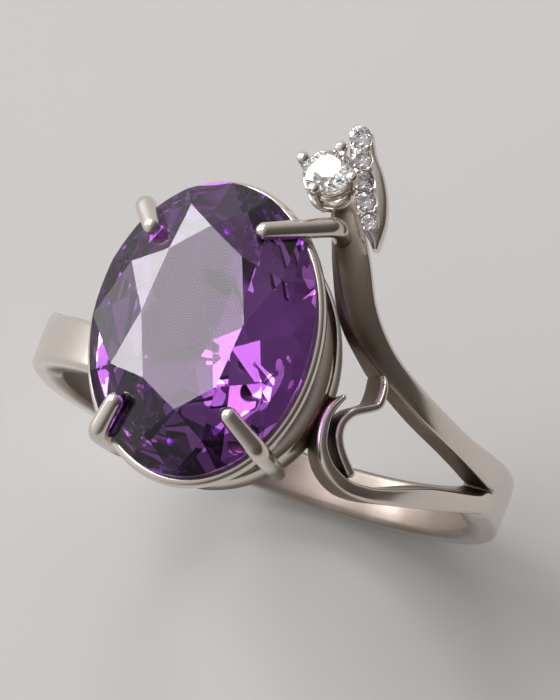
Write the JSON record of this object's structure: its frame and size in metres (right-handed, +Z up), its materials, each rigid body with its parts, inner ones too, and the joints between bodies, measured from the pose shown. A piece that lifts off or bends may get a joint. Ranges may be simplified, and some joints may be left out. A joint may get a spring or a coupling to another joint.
{
  "type": "cocktail ring",
  "caption": "Finger ring with an oval faceted purple gem in a claw basket head, a forked scrolling shoulder, a round accent stone and a stone-set crescent.",
  "frame": {"origin": "centre of the finger hole", "axes": "+Y along the finger, towards the accent stone; +Z up through the gem; +X towards the forked shoulder"},
  "size_m": [0.02, 0.0158, 0.0242],
  "materials": {
    "silver": "polished white precious metal",
    "purple_gem": "faceted, polished",
    "clear_gem": "faceted, polished"
  },
  "bodies": {
    "root": {"shank": "silver", "left_shoulder": "silver", "upper_branch": "silver", "lower_branch": "silver", "heart_scroll": "silver", "foot_rail": "silver", "gem_rail": "silver", "claw_1": "silver", "claw_2": "silver", "claw_3": "silver", "claw_4": "silver", "amethyst": "purple_gem", "collet_foot": "silver", "collet_rail": "silver", "accent_claw_1": "silver", "accent_claw_2": "silver", "accent_claw_3": "silver", "accent_claw_4": "silver", "accent_stone": "clear_gem", "crescent": "silver", "crescent_stones": "clear_gem", "crescent_beads": "silver"}
  },
  "joints": []
}
